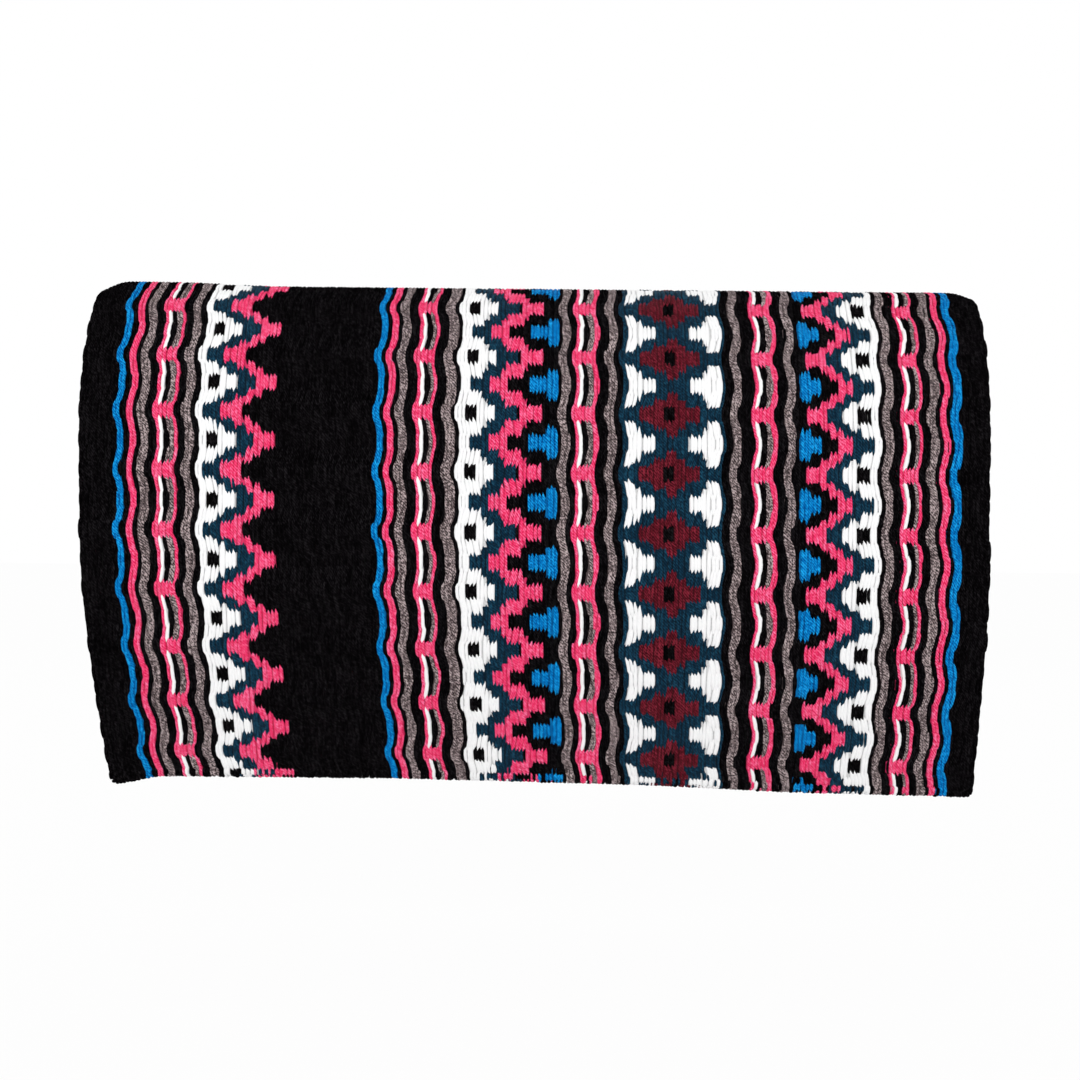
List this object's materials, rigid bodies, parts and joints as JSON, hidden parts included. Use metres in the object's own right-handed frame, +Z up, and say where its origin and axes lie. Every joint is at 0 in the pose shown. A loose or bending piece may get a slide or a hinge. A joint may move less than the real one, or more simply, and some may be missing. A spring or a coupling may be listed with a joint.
{
  "type": "saddle blanket",
  "caption": "Thick wool saddle blanket draped over a spine: flat-bottomed crest and a flap down each side that swings out until the cloth lies flat.",
  "frame": {"origin": "on the flat underside of the crest, at the middle of the blanket's length along the horse's spine", "axes": "+X along the spine towards the blanket's rear edge, +Z up, the near flap hangs on the -Y side and the off flap on the +Y side"},
  "size_m": [0.8729, 0.1824, 0.5043],
  "materials": {
    "black_wool": "matte",
    "blue_wool": "matte",
    "coral_wool": "matte",
    "taupe_wool": "matte",
    "white_wool": "matte",
    "petrol_wool": "matte",
    "maroon_wool": "matte"
  },
  "bodies": {
    "crest": {"crest_front_border": "black_wool", "crest_front_pinstripes": "blue_wool", "crest_front_chain_stripe": "taupe_wool", "crest_front_white_zigzag": "white_wool", "crest_front_flame_zigzag": "coral_wool", "crest_seat_field": "black_wool", "crest_centre_pinstripes": "blue_wool", "crest_centre_chain_stripe": "taupe_wool", "crest_centre_white_zigzag": "white_wool", "crest_centre_flame_zigzag": "coral_wool", "crest_centre_pip_stripe": "blue_wool", "crest_medallion_front_chain_stripe": "taupe_wool", "crest_medallion_band": "petrol_wool", "crest_medallion_rear_chain_stripe": "taupe_wool", "crest_rear_pip_stripe": "blue_wool", "crest_rear_flame_zigzag": "coral_wool", "crest_rear_white_zigzag": "white_wool", "crest_rear_chain_stripe": "taupe_wool", "crest_rear_border": "black_wool"},
    "near_flap": {"near_flap_front_border": "black_wool", "near_flap_front_pinstripes": "blue_wool", "near_flap_front_chain_stripe": "taupe_wool", "near_flap_front_white_zigzag": "white_wool", "near_flap_front_flame_zigzag": "coral_wool", "near_flap_seat_field": "black_wool", "near_flap_centre_pinstripes": "blue_wool", "near_flap_centre_chain_stripe": "taupe_wool", "near_flap_centre_white_zigzag": "white_wool", "near_flap_centre_flame_zigzag": "coral_wool", "near_flap_centre_pip_stripe": "blue_wool", "near_flap_medallion_front_chain_stripe": "taupe_wool", "near_flap_medallion_band": "petrol_wool", "near_flap_medallion_rear_chain_stripe": "taupe_wool", "near_flap_rear_pip_stripe": "blue_wool", "near_flap_rear_flame_zigzag": "coral_wool", "near_flap_rear_white_zigzag": "white_wool", "near_flap_rear_chain_stripe": "taupe_wool", "near_flap_rear_border": "black_wool", "near_flap_selvedge": "black_wool"},
    "off_flap": {"off_flap_front_border": "black_wool", "off_flap_front_pinstripes": "blue_wool", "off_flap_front_chain_stripe": "taupe_wool", "off_flap_front_white_zigzag": "white_wool", "off_flap_front_flame_zigzag": "coral_wool", "off_flap_seat_field": "black_wool", "off_flap_centre_pinstripes": "blue_wool", "off_flap_centre_chain_stripe": "taupe_wool", "off_flap_centre_white_zigzag": "white_wool", "off_flap_centre_flame_zigzag": "coral_wool", "off_flap_centre_pip_stripe": "blue_wool", "off_flap_medallion_front_chain_stripe": "taupe_wool", "off_flap_medallion_band": "petrol_wool", "off_flap_medallion_rear_chain_stripe": "taupe_wool", "off_flap_rear_pip_stripe": "blue_wool", "off_flap_rear_flame_zigzag": "coral_wool", "off_flap_rear_white_zigzag": "white_wool", "off_flap_rear_chain_stripe": "taupe_wool", "off_flap_rear_border": "black_wool", "off_flap_selvedge": "black_wool"}
  },
  "joints": [
    {"name": "near_flap_swing", "type": "hinge", "parent": "crest", "child": "near_flap", "pos_m": [0, -0.05011, -0.0115], "axis": [-1, 0, 0], "range_deg": [0, 90]},
    {"name": "off_flap_swing", "type": "hinge", "parent": "crest", "child": "off_flap", "pos_m": [0, 0.05011, -0.0115], "axis": [1, 0, 0], "range_deg": [0, 90]}
  ]
}
